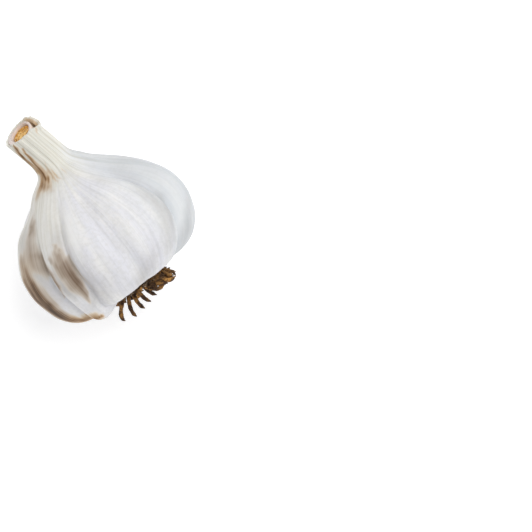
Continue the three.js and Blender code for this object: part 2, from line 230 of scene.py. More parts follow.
def lathe(profile, columns):
    """A closed body turned from (radius, height) points. Each vertex keeps the number of its row."""
    bm = bmesh.new()
    row = bm.verts.layers.int.new("row")
    points = [bm.verts.new((radius, 0, height)) for radius, height in profile]
    for i, point in enumerate(points):
        point[row] = i
    edges = [bm.edges.new(pair) for pair in zip(points, points[1:])]
    bmesh.ops.spin(
        bm,
        geom=points + edges,
        cent=(0, 0, 0),
        axis=(0, 0, 1),
        angle=2 * math.pi,
        steps=columns,
        use_merge=True,
    )
    bmesh.ops.remove_doubles(bm, verts=bm.verts[:], dist=1e-4)
    return bm, row


def column_of(vert, columns):
    return round(math.atan2(vert.co.y, vert.co.x) / (2 * math.pi) * columns) % columns


def finished(name, bm, material, node):
    """The bmesh as a piece that stands for a solid of the frame and rides with it."""
    bm.normal_update()
    bmesh.ops.recalc_face_normals(bm, faces=bm.faces[:])
    for face in bm.faces:
        face.smooth = True
    mesh = bpy.data.meshes.new(name)
    bm.to_mesh(mesh)
    bm.free()
    mesh.materials.append(material)
    piece = bpy.data.objects.new(name, mesh)
    bpy.context.scene.collection.objects.link(piece)
    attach(piece, "root")
    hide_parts(node)
    return piece


# ---- shader maths ----


def tone(red, green, blue):
    """A colour given as a screen shows it, 0 to 255."""
    parts = [value / 255 for value in (red, green, blue)]
    return (*(p / 12.92 if p <= 0.04045 else ((p + 0.055) / 1.055) ** 2.4 for p in parts), 1.0)


class Value:
    """An output of a shader tree. Python's own operators add Math nodes to it, and node() adds any other."""

    def __init__(self, tree, output=None):
        self.tree = tree
        self.output = output

    def node(self, kind, settings=None, inputs=None, output=0):
        node = self.tree.nodes.new(kind)
        for name, setting in (settings or {}).items():
            if name == "stops":
                ramp = node.color_ramp
                while len(ramp.elements) < len(setting):
                    ramp.elements.new(0.5)
                for element, (place, colour) in zip(ramp.elements, setting):
                    element.position = place
                    element.color = colour
            else:
                setattr(node, name, setting)
        for name, value in (inputs or {}).items():
            if isinstance(value, Value):
                self.tree.links.new(value.output, node.inputs[name])
            else:
                node.inputs[name].default_value = value
        return Value(self.tree, node.outputs[output])

    def math(self, operation, *values, clamp=False):
        settings = {"operation": operation, "use_clamp": clamp}
        return self.node("ShaderNodeMath", settings, dict(enumerate(values)))

    def __add__(self, other):
        return self.math("ADD", self, other)

    __radd__ = __add__

    def __sub__(self, other):
        return self.math("SUBTRACT", self, other)

    def __rsub__(self, other):
        return self.math("SUBTRACT", other, self)

    def __mul__(self, other):
        return self.math("MULTIPLY", self, other)

    __rmul__ = __mul__

    def kept(self):
        """The value held between 0 and 1."""
        return self.math("ADD", self, 0.0, clamp=True)

    def between(self, low, high):
        """0 below low, 1 above high and smooth between them."""
        inputs = {"Value": self, "From Min": low, "From Max": high}
        return self.node("ShaderNodeMapRange", {"interpolation_type": "SMOOTHSTEP"}, inputs)

    def mixed(self, under, over):
        """The colour over laid on the colour under by this amount."""
        return self.node("ShaderNodeMix", {"data_type": "RGBA"}, {0: self, 6: under, 7: over}, output=2)

    def scaled(self, x, y, z):
        """A vector stretched along its axes."""
        return self.node("ShaderNodeVectorMath", {"operation": "MULTIPLY"}, {0: self, 1: (x, y, z)})

    def cloud(self, scale, detail=3.0, roughness=0.55):
        """Soft noise of this vector, about 0.5."""
        inputs = {"Vector": self, "Scale": scale, "Detail": detail, "Roughness": roughness}
        return self.node("ShaderNodeTexNoise", None, inputs)

    def stored(self, name, output="Fac"):
        """What the mesh's vertices hold under a name."""
        return self.node("ShaderNodeAttribute", {"attribute_name": name}, output=output)

    def ramp(self, stops):
        """The colour that this value picks from a row of colours."""
        return self.node("ShaderNodeValToRGB", {"stops": stops}, {"Fac": self})

    def bumps(self, strength, distance):
        """The surface's direction where this value is its relief."""
        inputs = {"Strength": strength, "Distance": distance, "Height": self}
        return self.node("ShaderNodeBump", None, inputs)


def new_material(name):
    """A material with nothing but its output, and the start of its shader maths."""
    material = bpy.data.materials.new(name)
    material.use_nodes = True
    material.node_tree.nodes.clear()
    return material, Value(material.node_tree)


def surface(start, **sockets):
    """The material's one shader, from socket names written with underscores."""
    inputs = {name.replace("_", " "): value for name, value in sockets.items()}
    shader = start.node("ShaderNodeBsdfPrincipled", None, inputs)
    output = start.tree.nodes.new("ShaderNodeOutputMaterial")
    start.tree.links.new(shader.output, output.inputs["Surface"])


# ---- the wrapped bulb ----


def outline_points():
    """The skin's outline as even steps along a smooth curve, each with its outward direction."""
    count = len(SKIN_OUTLINE)
    dense = []
    for i in range(count - 1):
        before, start, end, after = (
            Vector(SKIN_OUTLINE[min(max(k, 0), count - 1)]) for k in (i - 1, i, i + 1, i + 2)
        )
        leave, arrive = (end - before) / 2, (after - start) / 2
        for step in range(CURVE_STEPS):
            t = step / CURVE_STEPS
            dense.append(
                (2 * start - 2 * end + leave + arrive) * t**3
                + (3 * end - 3 * start - 2 * leave - arrive) * t**2
                + leave * t
                + start
            )
    dense.append(Vector(SKIN_OUTLINE[-1]))
    runs = [0.0]
    for a, b in zip(dense, dense[1:]):
        runs.append(runs[-1] + (b - a).length)
    steps = round(runs[-1] / OUTLINE_STEP)
    points, k = [], 0
    for step in range(steps + 1):
        run = runs[-1] * step / steps
        while k < len(runs) - 2 and runs[k + 1] < run:
            k += 1
        points.append(dense[k].lerp(dense[k + 1], (run - runs[k]) / (runs[k + 1] - runs[k])))
    outward = []
    for i in range(len(points)):
        along = points[min(i + 1, steps)] - points[max(i - 1, 0)]
        outward.append(Vector((along.y, -along.x)).normalized())
    return points, outward


def leaf_columns():
    """The columns of the skin's mesh, as a clove and how far across it: they sway with the seams."""
    columns = []
    for index in range(len(CLOVES)):
        count = max(FEWEST_COLUMNS, round(span_at(index, BELLY_HEIGHT) / COLUMN_WIDTH))
        for i in range(count):
            even = i / count
            columns.append((index, even - COLUMN_CROWDING * math.sin(2 * math.pi * even)))
    return columns


def column_way(column, height):
    index, along = column
    return seam_at(CLOVES[index], height) + along * span_at(index, height)


# Single dents and swellings: way and height, how far they spread round and up, and how deep they are, below 0
# where the skin stands out.
DENTS = (
    (-99, 35.2, 6, 2.4, 1.1),
    (-94, 30, 6, 2.2, -0.25),
    (-89, 16.5, 8, 5.5, 0.4),
    (-56, 2.6, 8, 2.4, -0.8),
)
DENT_FADE = (13, 19)  # radii over which they fade out towards the root plate


def dented(way, radius, height):
    """How far the single dents and swellings push the skin out."""
    out = 0.0
    for place, level, across, upward, deep in DENTS:
        aside = math.radians((way - place + 180) % 360 - 180) * radius / across
        out -= deep * math.exp(-(aside**2) - ((height - level) / upward) ** 2)
    return out * (smooth(radius, *DENT_FADE) if height < BELLY_HEIGHT else 1.0)


# Long soft waves in the skin: how closely they lie round the bulb, where their noise starts, how long they
# are and how high.
FOLDS = ((9, 0, 22, 0.10), (21, 0, 15, 0.05))
NECK_RIBS = ((7, 3, 30, 0.30), (17, 5, 18, 0.12))
PUCKERS = ((11, 7, 25, 0.30),)
SLOW = {"wide": 10, "long": 12, "high": 0.28}
PUCKERED_FOOT = (9.4, 18)  # radii over which the puckers round the root plate fade out
RIBBED_NECK = (36, 44)  # heights over which the neck's ribs come in
SMOOTH_EDGE = (9.0, 10.5)  # radii over which the skin evens out to the edge of its hollow


def waves(kinds, way, run):
    """How high some kinds of waves are at a way and at a run along the skin."""
    c, s = around(way)
    high = 0.0
    for closeness, start, length, height in kinds:
        high += height * noise.noise(Vector((c * closeness, s * closeness, start + run / length)))
    return high


def fine_relief(way, radius, height):
    """Slow unevenness, folds that run along the bulb, and puckers round the root plate and the neck."""
    c, s = around(way)
    spot = Vector((c * radius / SLOW["wide"], s * radius / SLOW["wide"], height / SLOW["long"]))
    slow = SLOW["high"] * noise.noise(spot)
    foot = 1 - smooth(radius, *PUCKERED_FOOT) if height < BELLY_HEIGHT else 0.0
    neck = smooth(height, *RIBBED_NECK)
    edge = smooth(radius, *SMOOTH_EDGE) if height < BELLY_HEIGHT else 1.0
    uneven = slow * (1 - neck) + waves(FOLDS, way, height) + waves(PUCKERS, way, radius) * foot
    return edge * uneven + waves(NECK_RIBS, way, height) * neck + dented(way, radius, height)


# Brown stains in the skin, some with painted shade as noted: strokes of points, each with way, height, half
# width and strength.
STAINS_AND_PAINTED_SHADE = (
    # down the neck: the outer streak
    ((-50, 57.9, 0.3, 0.6), (-56, 56.4, 0.8, 0.85), (-66, 54.3, 0.7, 0.88), (-72, 52, 0.5, 0.85),
     (-75, 50.2, 0.8, 0.75), (-82, 47.3, 0.8, 0.65), (-85.5, 44.9, 0.8, 0.5)),
    # the inner streak
    ((-38, 55.2, 0.5, 0.45), (-45, 53.2, 0.3, 0.7), (-47, 50.8, 0.4, 0.72), (-53, 47.9, 0.9, 0.72),
     (-57, 45.5, 1.2, 0.78), (-58, 43.3, 1, 0.78), (-43, 41.3, 0.5, 0.6)),
    # between them
    ((-64.5, 50.7, 0.6, 0.12), (-70.5, 47.8, 1, 0.3), (-73, 45.4, 1.2, 0.4), (-65, 43.2, 1.2, 0.4)),
    # the streaks beyond
    ((-23, 48.8, 0.2, 0.1), (-28, 46.3, 0.3, 0.25), (-34.5, 43.7, 0.7, 0.34), (-29, 41.7, 0.4, 0.34),
     (-20, 39.7, 0.5, 0.2)),
    ((-22, 44.2, 0.2, 0.15), (-22, 42.2, 0.3, 0.34), (-17, 40.9, 0.3, 0.26), (-11, 39.1, 0.4, 0.1)),
    ((0, 42.9, 0.2, 0.1), (-1, 41.4, 0.3, 0.26), (1, 39.8, 0.3, 0.1)),
    # below the lip: a tan mark, with painted shadow under the lip
    ((42, 57.9, 0.3, 0.26), (38.5, 56.2, 0.4, 0.3), (29, 54.1, 0.3, 0.16)),
    # the foot of the neck: stains, with painted shadow in the corner where it meets the shoulder
    ((-76, 42.7, 0.9, 0.4), (-70, 41.5, 1.2, 0.62), (-70, 40.8, 1.8, 0.62), (-71, 39.8, 2.1, 0.46),
     (-74.5, 38.6, 1.7, 0.2)),
    ((-63, 40.9, 0.8, 0.4), (-41, 39.6, 0.8, 0.3), (-31, 38.3, 0.7, 0.14)),
    ((-50.5, 42.7, 1.8, 0.22), (-45.5, 40.7, 2.5, 0.28), (-47, 39, 2.1, 0.14)),
    # the shoulder
    ((-76, 35.4, 1.4, 0.2), (-70.5, 34.2, 1.5, 0.32), (-67.5, 33.2, 1.6, 0.4), (-69, 32.1, 2.1, 0.4),
     (-71, 30.7, 2.2, 0.3), (-71.5, 29.2, 2.3, 0.16)),
    ((-73, 33.7, 0.7, 0.26), (-67, 32.9, 0.6, 0.2), (-72, 31.8, 0.4, 0.15)),
    # the cloud above the smear
    ((-65.5, 29.6, 2.1, 0.2), (-66.5, 28.1, 2.6, 0.38), (-67, 26.5, 2.6, 0.48), (-66, 24.7, 2.2, 0.48),
     (-60.5, 22.3, 1.5, 0.36), (-60, 19.7, 1, 0.2)),
    # the smear
    ((-61.5, 27.5, 0.5, 0.2), (-60, 26.3, 1.5, 0.38), (-58, 24.1, 1.7, 0.48), (-55.5, 22.1, 1.7, 0.62),
     (-52, 20.1, 1.4, 0.6), (-52, 18.5, 1.1, 0.6), (-51.5, 16.5, 1.2, 0.62), (-55, 14.1, 1, 0.54),
     (-58.5, 11.6, 0.3, 0.15)),
    # the patch
    ((-39, 27.1, 1.3, 0.14), (-40, 25.2, 1.6, 0.24), (-40.5, 23.4, 1.7, 0.34), (-40.5, 21.3, 1.9, 0.42),
     (-41, 19.4, 1.9, 0.5), (-40, 16.8, 1.7, 0.54), (-40.5, 14.3, 1.5, 0.6), (-41, 12.1, 1.3, 0.6),
     (-42, 9.6, 0.8, 0.42), (-43.5, 7.5, 0.5, 0.18)),
    # its darkest part
    ((-39.5, 21.6, 0.7, 0.16), (-39, 19.7, 0.8, 0.32), (-39, 17.3, 1, 0.42), (-39, 14.7, 0.7, 0.48),
     (-40, 12.2, 0.6, 0.5), (-41, 10, 0.5, 0.42), (-42.5, 8.3, 0.5, 0.2)),
    # its near side
    ((-43.5, 25.8, 0.4, 0.14), (-42, 24.2, 0.5, 0.26), (-42, 22.3, 0.5, 0.25), (-42, 20.4, 0.5, 0.2)),
    ((-48, 24.2, 0.6, 0.28), (-45.5, 22.7, 0.5, 0.38), (-44, 21, 0.5, 0.36), (-44, 18.3, 0.5, 0.25)),
    ((-43, 27.2, 0.4, 0.16), (-41, 26.6, 0.4, 0.3), (-39.5, 25.5, 0.4, 0.24)),
    # the haze between the patch and the smear
    ((-43, 24.5, 1.6, 0.22), (-44, 20.6, 1.4, 0.22), (-43.5, 17, 1.3, 0.28), (-44, 14.3, 1.2, 0.3),
     (-44, 11.8, 0.9, 0.14)),
    # the line beside it
    ((-36, 22.4, 0.9, 0.2), (-36, 19.8, 0.9, 0.28), (-35, 17.3, 0.4, 0.3), (-35, 13.8, 0.7, 0.22),
     (-35, 10.9, 0.6, 0.16), (-34, 8.3, 0.8, 0.08)),
    ((-31.5, 20.1, 0.4, 0.12), (-31, 17.4, 0.4, 0.16), (-31, 14, 0.6, 0.1)),
    # the dark band round the underside: a stain, with painted shade and a painted brown reflection from
    # beneath
    ((-79.5, 26.1, 1.7, 0.22), (-77, 23.7, 1.6, 0.45), (-76, 21.4, 1.6, 0.62), (-74, 19.4, 2, 0.76),
     (-74, 17.1, 1.6, 0.84), (-74.5, 14.6, 2.1, 0.88), (-73.5, 12.5, 2, 0.84), (-75, 10.5, 1.9, 0.7),
     (-73, 8.7, 1.6, 0.55), (-72, 7.1, 1.4, 0.36)),
    ((-81, 28, 2.3, 0.16), (-81, 25.6, 2.7, 0.4), (-80, 23, 2.7, 0.52), (-82, 20.6, 2.7, 0.74),
     (-81, 17.7, 2.9, 0.84), (-82, 15, 2.7, 0.84), (-79, 12.5, 2.4, 0.7), (-78, 10.3, 2.1, 0.62),
     (-76, 8.2, 2, 0.5)),
    ((-74, 21.6, 3.4, 0.14), (-72.5, 18.5, 3.2, 0.26), (-70.5, 16.1, 3.9, 0.4), (-70, 13.2, 4, 0.42),
     (-70, 10.2, 2.4, 0.3), (-70, 7.6, 2, 0.24), (-68, 6, 1.4, 0.14)),
    # the underside: a stain, with painted shade and a painted brown reflection from beneath
    ((-76, 9.2, 2.4, 0.35), (-74, 6.8, 2.7, 0.5), (-72, 4.9, 2.4, 0.54), (-69.5, 3.6, 1.7, 0.45),
     (-64, 2.8, 1.2, 0.46), (-51, 3.8, 1.4, 0.54), (-49, 3, 0.7, 0.54)),
    ((-78.5, 7.3, 2.3, 0.44), (-77.5, 5.4, 2, 0.55), (-73, 4.1, 2, 0.55), (-67, 3.2, 1.7, 0.4)),
    ((-64, 3.2, 0.6, 0.25), (-64, 2, 0.8, 0.35), (-50, 3.4, 0.4, 0.4), (-48, 2.7, 0.3, 0.3)),
)

# Grey strokes of painted shade, which darken the skin on its side away from the light, in its creases and
# towards its foot.
PAINTED_SHADE_STROKES = (
    # the side of the last near clove
    ((-93, 35.6, 3.3, 0.2), (-86, 33.6, 4.3, 0.26), (-80, 30.9, 4.9, 0.34), (-78, 28.8, 4.5, 0.34),
     (-76, 26, 4.1, 0.36), (-75.5, 23.5, 3.1, 0.2)),
    ((-65, 24.3, 2.5, 0.3), (-64, 21.7, 2.8, 0.4), (-63.5, 19.5, 2.7, 0.36), (-63, 15.5, 2.5, 0.2),
     (-63, 12.2, 1.9, 0.12)),
    ((-69, 29.8, 2, 0.12), (-70, 27.7, 2.6, 0.3), (-71, 25.4, 2.7, 0.34), (-71, 22.7, 2.2, 0.2)),
    # the narrow clove below its smears
    ((-46.5, 18.5, 1.5, 0.26), (-48, 15.8, 3.1, 0.5), (-47, 13.7, 2.2, 0.46), (-46, 11.9, 1.7, 0.3)),
    ((-42, 32, 1.6, 0.1), (-42, 29.3, 1.4, 0.2), (-42.5, 25.8, 1.4, 0.24), (-46, 22.3, 1.3, 0.24),
     (-47.5, 19.2, 1.8, 0.26), (-48.5, 16.2, 1.6, 0.16)),
    ((-34.5, 30.4, 1.5, 0.14), (-38, 27.7, 1.4, 0.36), (-40, 25.4, 1.4, 0.34)),
    # beside the patch
    ((-29, 16.8, 2.3, 0.12), (-32.5, 12.9, 2.8, 0.3), (-37, 8.9, 2.5, 0.34), (-42.5, 6.3, 1.9, 0.26)),
    # the near foot
    ((-25, 11, 2.3, 0.1), (-28, 6.7, 2, 0.16), (-37, 3.3, 1.4, 0.18)),
    # the crease behind the right clove
    ((45.5, 25.4, 0.5, 0.06), (45, 22.4, 0.6, 0.16), (44.5, 19.5, 1.4, 0.27), (38.5, 16.4, 1.4, 0.36),
     (36, 12.9, 1.3, 0.32), (33.5, 9.9, 0.9, 0.24), (31, 6.9, 0.9, 0.14)),
    # the right clove
    ((93, 32.5, 2, 0.16), (67, 29.7, 5.3, 0.14), (58, 26, 3.8, 0.1)),
    ((66.5, 14.7, 2.1, 0.1), (58, 11.6, 1.8, 0.16), (52.5, 7.9, 1.6, 0.22), (50, 5.4, 2.6, 0.28),
     (44.5, 3.8, 2.8, 0.2)),
    ((18.5, 34.5, 1.3, 0.1), (23, 33.2, 2.2, 0.18), (27, 31.5, 2.1, 0.12)),
    ((-4.5, 31.6, 1.5, 0.12), (-3.5, 28.1, 1.7, 0.2), (-4, 24.2, 1.7, 0.1), (-4, 18.9, 1.8, 0.14),
     (-3.5, 15.2, 1.3, 0.12)),
    ((95.5, 36.5, 2.3, 0.16), (85, 34.7, 5.8, 0.14), (50, 32.5, 2.2, 0.1)),
    ((6, 6.5, 2.7, 0.2), (-4, 3, 2.5, 0.36), (15, 8.5, 2.3, 0.1)),
    ((41.5, 32.6, 1.5, 0.12), (41.5, 28.8, 2.6, 0.2), (35, 23.8, 3.2, 0.24), (34, 19.5, 2.4, 0.34),
     (31, 14.9, 2.3, 0.26), (29, 11.2, 2.3, 0.28), (25, 6.7, 2.3, 0.26)),
)

# Whiter strips of painted light, which lighten the skin where its flanks, swells and neck ribs lie in shade.
PAINTED_LIGHT_STRIPS = (
    # the near flank of the broad clove
    ((-23, 33.5, 1.3, 0.35), (-24.5, 31.2, 1.7, 0.75), (-26, 28.4, 1.9, 0.95), (-27, 25.8, 2.2, 0.9),
     (-27.5, 23, 1.6, 0.5), (-28, 20.4, 1.1, 0.15)),
    ((-24, 38, 1.4, 0.3), (-25, 35.8, 1.3, 0.4), (-26, 33.7, 1.2, 0.2)),
    ((14, 30.3, 1.4, 0.15), (13, 28, 1.7, 0.3), (12, 24.2, 1.7, 0.2)),
    ((10.5, 18.2, 1.7, 0.15), (9, 14.4, 2, 0.35), (9, 10.8, 1.7, 0.2)),
    # the swell of the right clove
    ((54, 22.7, 1.8, 0.1), (52, 18.6, 1.9, 0.22), (50.5, 13.4, 2.1, 0.42), (47.5, 9.7, 1.6, 0.45),
     (43, 7.2, 2.9, 0.25)),
    # along the neck
    ((-16, 52.9, 0.7, 0.2), (-23, 50.8, 0.7, 0.55), (-34, 48.2, 0.8, 0.65), (-44, 45.4, 0.5, 0.35)),
    # the shoulder beside the neck
    ((43, 45.7, 2.2, 0.2), (37, 42.3, 1.9, 0.5), (33.5, 39.8, 2.2, 0.4), (36, 37.1, 2.2, 0.1)),
)
STROKE_REACH = 7.8  # further than this above and below its points, a stroke has no effect
WIDEST_WAY = 60  # nor where one of its points is further round than this
RAGGED = {"wide": 1.4, "long": 3, "round": 0.3, "up": 0.6}  # the noise that makes the strokes' edges uneven


def painted(strokes, way, radius, height):
    """How strong the strokes are at a place, 0 to 1, with their edges made uneven."""
    c, s = around(way)
    spot = Vector((c * radius / RAGGED["wide"], s * radius / RAGGED["wide"], height / RAGGED["long"]))
    way += math.degrees(RAGGED["round"] * noise.noise(spot) / radius)
    height += RAGGED["up"] * noise.noise(spot + Vector((9, 4, 2)))
    clean = 1.0
    for stroke in strokes:
        if not any(abs(h - height) < STROKE_REACH + wide for _, h, wide, _ in stroke):
            continue
        asides = [(w - way + 180) % 360 - 180 for w, _, _, _ in stroke]
        if max(abs(aside) for aside in asides) > WIDEST_WAY:
            continue
        heights = [h - height for _, h, _, _ in stroke]
        placed = [Vector((math.radians(aside) * radius, up)) for aside, up in zip(asides, heights)]
        most = 0.0
        for a, b, (_, _, wa, sa), (_, _, wb, sb) in zip(placed, placed[1:], stroke, stroke[1:]):
            run = b - a
            t = min(max(-a.dot(run) / run.length_squared, 0.0), 1.0)
            width, strength = wa + (wb - wa) * t, sa + (sb - sa) * t
            most = max(most, strength * math.exp(-(((a + run * t).length / width) ** 2)))
        clean *= 1 - most
    return 1 - clean


# Where the skin's tint changes: the way that each region is centred on, the cosines of the distance round
# from it between which the tint comes in, and the heights between which it comes in or goes.
CREAMY_SIDE = {"way": -75, "edge": (0.55, 0.95), "heights": (14, 30), "strength": 0.75}
COOL_SIDE = {"way": 75, "edge": (0.45, 0.95), "heights": (42, 48)}
WARM_FOOT = {"way": -55, "edge": (0.8, 0.97), "heights": (5, 9)}
WARM_UNDERSIDE = {"way": -95, "edge": (0.8, 0.95), "heights": (24, 30), "strength": 0.45}
TORN_SIDE = {"way": LIP["way"], "edge": (0.2, 0.8)}
CREAMY_NECK = (33, 46)
WARM_NECK = (36, 42)
SEAM_SHADE_HEIGHTS = (18, 26)  # heights over which the painted shade in the seams' grooves fades out


def facing(way, region):
    """How far inside a region a way lies, 0 to 1."""
    return smooth(math.cos(math.radians(way - region["way"])), *region["edge"])


def tints(way, height):
    """How creamy, how cool and how warm the skin is at a place, each 0 to 1."""
    side = CREAMY_SIDE["strength"] * facing(way, CREAMY_SIDE) * smooth(height, *CREAMY_SIDE["heights"])
    cool = facing(way, COOL_SIDE) * (1 - smooth(height, *COOL_SIDE["heights"]))
    foot = facing(way, WARM_FOOT) * (1 - smooth(height, *WARM_FOOT["heights"]))
    under = WARM_UNDERSIDE["strength"] * facing(way, WARM_UNDERSIDE)
    under *= 1 - smooth(height, *WARM_UNDERSIDE["heights"])
    return max(smooth(height, *CREAMY_NECK), side), cool, max(smooth(height, *WARM_NECK), under, foot)


def make_bulb(material):
    skin, outward = outline_points()
    floor = NECK_HOLLOW["floor"]
    # (radius, height, how much of the lip's reach the point takes)
    rim = [
        (5.36, CUT_HEIGHT + 0.02, 1.0),
        (5.24, CUT_HEIGHT + 0.08, 0.9),
        (5.08, CUT_HEIGHT + 0.08, 0.75),
        (4.94, CUT_HEIGHT, 0.6),
        (4.84, CUT_HEIGHT - 0.2, 0.45),
        (4.76, CUT_HEIGHT - 0.5, 0.3),
        (4.68, CUT_HEIGHT - 0.8, 0.05),
        (4.6, CUT_HEIGHT - 1.1, -0.3),
        (4.54, CUT_HEIGHT - 1.8, -0.55),
        (4.5, CUT_HEIGHT - 2.6, -0.5),
        (NECK_HOLLOW["radius"], CUT_HEIGHT - 3.5, 0.0),
        (NECK_HOLLOW["radius"], floor, 0.0),
        (3, floor, 0.0),
        (0, floor, 0.0),
    ]
    side, deep = ROOT_HOLLOW["radius"], ROOT_HOLLOW["floor"]
    hollow = [(0, deep), (4, deep), (7, deep), (side - 0.2, deep), (side, deep - 0.3), (side, 2.3)]
    profile = hollow + [tuple(p) for p in skin] + [(r, h) for r, h, _ in rim]
    first_rim = len(hollow) + len(skin)
    columns = leaf_columns()
    bm, row = lathe(profile, len(columns))
    grain = bm.verts.layers.float_vector.new("grain")
    brown, grey, pale, warm, seam, creamy, cool, inner = (
        bm.verts.layers.float.new(name)
        for name in ("brown", "grey", "pale", "warm", "seam", "creamy", "cool", "inner")
    )
    for vert in bm.verts:
        i = vert[row]
        radius, height = profile[i]
        column = columns[column_of(vert, len(columns))]
        way = column_way(column, height)
        lift, lip = mouth_shape(way, height)
        c, s = around(column_way(column, BELLY_HEIGHT))
        vert[grain] = Vector((c, s, height / BELLY_RADIUS))
        vert[creamy], vert[cool], vert[warm] = tints(way, height)
        k = i - len(hollow)
        if 0 <= k < len(skin):
            out, bulge, near = clove_relief(way, radius, height)
            out += rib_relief(way, height) + fine_relief(way, radius, height)
            height_there = height + outward[k].y * out + bulge + lift
            place = bent(radius + outward[k].x * out + lip, way, height_there)
            # stains, with painted shade at the underside, under the lip and at the foot of the neck
            vert[brown] = painted(STAINS_AND_PAINTED_SHADE, way, radius, height)
            # painted shade: the grey strokes
            vert[grey] = painted(PAINTED_SHADE_STROKES, way, radius, height)
            # painted light: the whiter strips
            vert[pale] = painted(PAINTED_LIGHT_STRIPS, way, radius, height)
            # painted shade: grey in the seams' grooves
            vert[seam] = near * (1 - smooth(height, *SEAM_SHADE_HEIGHTS))
        elif i >= first_rim:
            share = rim[i - first_rim][2]
            ragged = 0.16 * noise.noise(Vector((c * 6, s * 6, 1)))
            ragged *= smooth(height, CUT_HEIGHT - 1, CUT_HEIGHT)
            place = bent(radius + lip * share, way, height + lift + ragged)
            vert[brown] = 0.5 * painted(STAINS_AND_PAINTED_SHADE, way, NECK_RADIUS, CUT_HEIGHT)
            # tan inside the neck: the dry leaves' own colour, with painted shade down in the gap on the torn
            # side
            deep = CUT_HEIGHT - height
            torn = facing(way, TORN_SIDE) * smooth(deep, -0.2, 0.25)
            vert[inner] = max(0.15 * smooth(deep, -0.05, 0.8), torn)
        else:
            place = bent(radius, way, height)
            vert[inner] = 0.6
        vert.co = laid(place)
    return finished("bulb_skin_and_neck", bm, material, "bulb")


# ---- the cut end of the neck ----

# The rolled sheath stands a little aside in the neck, flares out, and slants down towards the upper side.
SHEATH = {"outer": 3.9, "inner": 3.2, "foot": NECK_HOLLOW["floor"] + GAP, "top": CUT_HEIGHT - 0.3}
SHEATH_SET = {"aside": 0.3, "flare": 0.35, "low": 0.1, "slant": 0.9, "ragged": 0.12}
SHEATH_COLUMNS = 96
CORE_COLUMNS = 72


def beside(radius, way, height, aside):
    """A point of the neck turned about a centre that lies aside, away from the mouth's lip."""
    c, s = around(way)
    mc, ms = around(LIP["way"])
    x, y = radius * c - aside * mc, radius * s - aside * ms
    return bent(math.hypot(x, y), math.degrees(math.atan2(y, x)), height)


def make_sheath(material):
    foot, top, inner, outer = SHEATH["foot"], SHEATH["top"], SHEATH["inner"], SHEATH["outer"]
    # (radius, height, whether the point belongs to the outside, which lies aside)
    profile = [
        (inner, foot, 0),
        (outer, foot, 1),
        (outer, foot + 2, 1),
        (outer, top - 0.8, 1),
        (outer, top - 0.3, 1),
        (outer - 0.08, top - 0.05, 1),
        (outer - 0.22, top, 1),
        (outer - 0.32, top - 0.12, 1),
        (outer - 0.42, top - 0.02, 0.7),
        (outer - 0.52, top + 0.02, 0.5),
        (outer - 0.6, top - 0.14, 0.3),
        (outer - 0.68, top - 0.05, 0.1),
        (inner + 0.12, top - 0.02, 0),
        (inner + 0.04, top - 0.1, 0),
        (inner, top - 0.4, 0),
        (inner, top - 1.5, 0),
    ]
    bm, row = lathe([(r, h) for r, h, _ in profile], SHEATH_COLUMNS)
    bmesh.ops.bridge_loops(bm, edges=[edge for edge in bm.edges if edge.is_boundary])
    grain = bm.verts.layers.float_vector.new("grain")
    tan = bm.verts.layers.float.new("tan")
    for vert in bm.verts:
        radius, height, share = profile[vert[row]]
        way = 360 / SHEATH_COLUMNS * column_of(vert, SHEATH_COLUMNS)
        c, s = around(way)
        ragged = 0.0
        if height > top - 0.5:
            ragged = SHEATH_SET["ragged"] * noise.noise(Vector((c * 5, s * 5, radius)))
        away = max(0.0, -math.cos(math.radians(way - LIP["way"])))
        near_top = smooth(height, top - 2.5, top - 0.3)
        radius += SHEATH_SET["flare"] * share * near_top
        vert[grain] = Vector((c, s, height / BELLY_RADIUS + radius))
        vert[tan] = (1 - away) * 0.3 + 0.4 * smooth(top - height, 0, 1)
        low = SHEATH_SET["low"] + SHEATH_SET["slant"] * max(0.0, c)
        low *= smooth(height, top - 4, top)
        vert.co = laid(beside(radius, way, height + ragged - low, SHEATH_SET["aside"] * share))
    return finished("rolled_inner_sheath", bm, material, "inner_sheath")


def make_stem_core(material):
    radius, foot, top = SHEATH["inner"] - 0.28, SHEATH["foot"], SHEATH["top"] - 0.5
    profile = [(0, foot), (radius, foot), (radius, foot + 2), (radius, top - 0.8), (radius, top - 0.4)]
    profile += [(radius * (1 - 0.05 * i), top - 0.4 + 0.06 * min(i, 4)) for i in range(1, 5)]
    profile += [(radius * (0.8 - 0.1 * i), top - 0.16 - 0.12 * math.sin(i * 0.75) ** 2) for i in range(1, 8)]
    profile += [(0, top - 0.22)]
    bm, row = lathe(profile, CORE_COLUMNS)
    for vert in bm.verts:
        r, height = profile[vert[row]]
        way = 360 / CORE_COLUMNS * column_of(vert, CORE_COLUMNS)
        c, s = around(way)
        if height > top - 0.5:
            height += 0.2 * noise.noise(Vector((c * r * 1.6, s * r * 1.6, 2)))
        vert.co = laid(bent(r, way, height))
    return finished("dried_stem_core", bm, material, "stem_core")


# ---- the roots ----

# The rings of roots on the plate, from the rim inwards: how far out they grow, how far they lean outwards,
# and the way and length of each. They all dried hooking towards one side, where they crowd together and stand
# more upright.
RIM_ROOTS = (
    ((12, 6.3), (23, 6.3), (34, 6.2), (45, 6.1), (56, 6.1), (67, 6), (78, 6), (90, 6.1), (103, 6.4))
    + ((120, 6.8), (139, 7.2), (159, 7.6), (180, 8), (201, 8.2), (221, 8), (240, 7.6), (258, 5.8))
)


def same_length(length, ways):
    return tuple((way, length) for way in ways)


